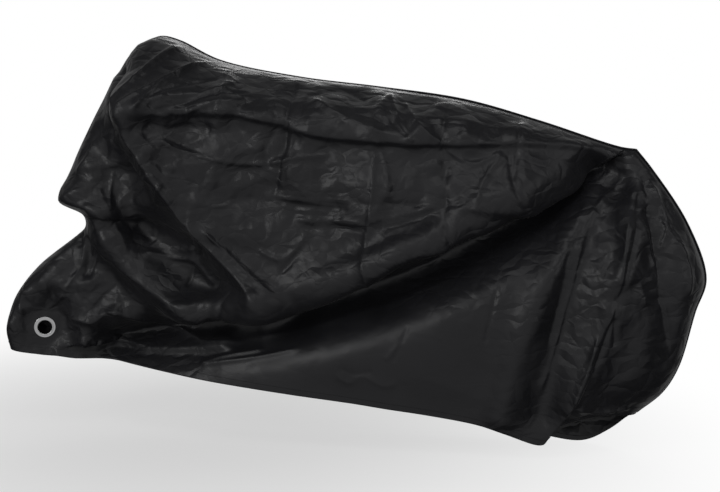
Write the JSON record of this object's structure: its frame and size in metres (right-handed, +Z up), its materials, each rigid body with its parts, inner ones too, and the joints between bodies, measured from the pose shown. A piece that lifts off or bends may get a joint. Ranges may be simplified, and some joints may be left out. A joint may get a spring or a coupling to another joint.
{
  "type": "bicycle cover",
  "caption": "Fitted, hollow bicycle cover of coated black cloth, draped in folds over handlebar, saddle and wheels, open below, with a lock eyelet near the front on each side.",
  "frame": {"origin": "under the cloth at its highest point, where the handlebar's top holds the cover up", "axes": "+X towards the rear of the bicycle, along the cover's length; -Y the bicycle's left side; +Z up"},
  "size_m": [1.9693, 0.5826, 1.1511],
  "materials": {
    "coated_cloth": "black polyester taffeta with a satin coating, creased from its package",
    "eyelet_metal": "bright nickel-plated pressed rings"
  },
  "bodies": {
    "root": {"panel_left": "coated_cloth", "panel_right": "coated_cloth", "eyelet_left": "eyelet_metal", "eyelet_right": "eyelet_metal"}
  },
  "joints": []
}
